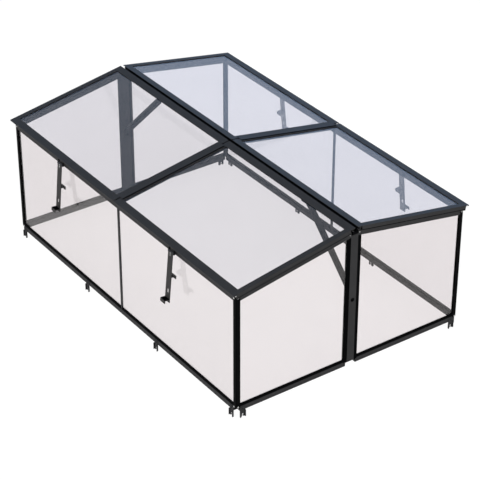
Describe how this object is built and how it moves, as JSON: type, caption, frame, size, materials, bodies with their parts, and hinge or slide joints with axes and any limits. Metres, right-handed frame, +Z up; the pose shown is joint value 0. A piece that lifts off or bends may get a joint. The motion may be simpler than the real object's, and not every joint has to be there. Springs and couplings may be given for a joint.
{
  "type": "glass cold frame",
  "caption": "Low double-sided glass cold frame for a raised bed: glazed walls and gables, lids hinged along the ridge, and a casement stay on each lid.",
  "frame": {"origin": "middle of the base at the level of the fixing tabs' lower ends", "axes": "+Z up, Y along the ridge with the front gable at -Y, X across the ridge"},
  "size_m": [0.8906, 1.214, 0.4874],
  "materials": {
    "grey_profile": "anthracite powder coat, satin",
    "black_profile": "black powder coat, satin",
    "black_steel": "black powder coat, satin",
    "stay_steel": "dark grey powder coat, satin",
    "zinc_steel": "bright zinc plate on the screws' ends",
    "black_rubber": "matt",
    "clear_glass": "clear, polished"
  },
  "bodies": {
    "frame": {"back_centre_post": "grey_profile", "back_gable_rails": "grey_profile", "back_glass": "clear_glass", "back_left_corner_post": "black_profile", "back_right_corner_post": "black_profile", "back_sills": "grey_profile", "centre_post_seals": "black_rubber", "fixing_tabs": "grey_profile", "front_centre_post": "grey_profile", "front_gable_rails": "grey_profile", "front_glass": "clear_glass", "front_left_corner_post": "black_profile", "front_right_corner_post": "black_profile", "front_sills": "grey_profile", "gable_seals": "black_rubber", "left_eave_rail": "grey_profile", "left_glass": "clear_glass", "left_sill": "grey_profile", "ridge_beam": "black_profile", "ridge_braces": "black_steel", "right_eave_rail": "grey_profile", "right_glass": "clear_glass", "right_sill": "grey_profile", "side_seals": "black_rubber", "wall_mullions": "grey_profile"},
    "front_left_lid": {"front_left_lid_ridge_rail": "grey_profile", "front_left_lid_eave_rail": "grey_profile", "front_left_lid_side_rails": "grey_profile", "front_left_lid_glass": "clear_glass", "front_left_stay_clip": "black_steel"},
    "front_left_stay": {"front_left_stay": "stay_steel"},
    "back_left_lid": {"back_left_lid_ridge_rail": "grey_profile", "back_left_lid_eave_rail": "grey_profile", "back_left_lid_side_rails": "grey_profile", "back_left_lid_glass": "clear_glass", "back_left_stay_clip": "black_steel"},
    "back_left_stay": {"back_left_stay": "stay_steel"},
    "front_right_lid": {"front_right_lid_ridge_rail": "grey_profile", "front_right_lid_eave_rail": "grey_profile", "front_right_lid_side_rails": "grey_profile", "front_right_lid_glass": "clear_glass", "front_right_stay_clip": "black_steel"},
    "front_right_stay": {"front_right_stay": "stay_steel"},
    "back_right_lid": {"back_right_lid_ridge_rail": "grey_profile", "back_right_lid_eave_rail": "grey_profile", "back_right_lid_side_rails": "grey_profile", "back_right_lid_glass": "clear_glass", "back_right_stay_clip": "black_steel"},
    "back_right_stay": {"back_right_stay": "stay_steel"}
  },
  "joints": [
    {"name": "front_left_lid_hinge", "type": "hinge", "parent": "frame", "child": "front_left_lid", "pos_m": [-0.0095, -0.3, 0.48057], "axis": [0, 1, 0], "range_deg": [0, 90]},
    {"name": "back_left_lid_hinge", "type": "hinge", "parent": "frame", "child": "back_left_lid", "pos_m": [-0.0095, 0.3, 0.48057], "axis": [0, 1, 0], "range_deg": [0, 90]},
    {"name": "front_right_lid_hinge", "type": "hinge", "parent": "frame", "child": "front_right_lid", "pos_m": [0.0095, -0.3, 0.48057], "axis": [0, -1, 0], "range_deg": [0, 90]},
    {"name": "back_right_lid_hinge", "type": "hinge", "parent": "frame", "child": "back_right_lid", "pos_m": [0.0095, 0.3, 0.48057], "axis": [0, -1, 0], "range_deg": [0, 90]},
    {"name": "front_left_stay_pivot", "type": "hinge", "parent": "front_left_lid", "child": "front_left_stay", "pos_m": [-0.41, -0.303, 0.39898], "axis": [0, 1, 0], "range_deg": [-90, 0]},
    {"name": "back_left_stay_pivot", "type": "hinge", "parent": "back_left_lid", "child": "back_left_stay", "pos_m": [-0.41, 0.303, 0.39898], "axis": [0, 1, 0], "range_deg": [-90, 0]},
    {"name": "front_right_stay_pivot", "type": "hinge", "parent": "front_right_lid", "child": "front_right_stay", "pos_m": [0.41, -0.303, 0.39898], "axis": [0, -1, 0], "range_deg": [-90, 0]},
    {"name": "back_right_stay_pivot", "type": "hinge", "parent": "back_right_lid", "child": "back_right_stay", "pos_m": [0.41, 0.303, 0.39898], "axis": [0, -1, 0], "range_deg": [-90, 0]}
  ],
  "couplings": [
    {"joint": "front_left_stay_pivot", "follows": "front_left_lid_hinge", "ratio": -1},
    {"joint": "back_left_stay_pivot", "follows": "back_left_lid_hinge", "ratio": -1},
    {"joint": "front_right_stay_pivot", "follows": "front_right_lid_hinge", "ratio": -1},
    {"joint": "back_right_stay_pivot", "follows": "back_right_lid_hinge", "ratio": -1}
  ]
}
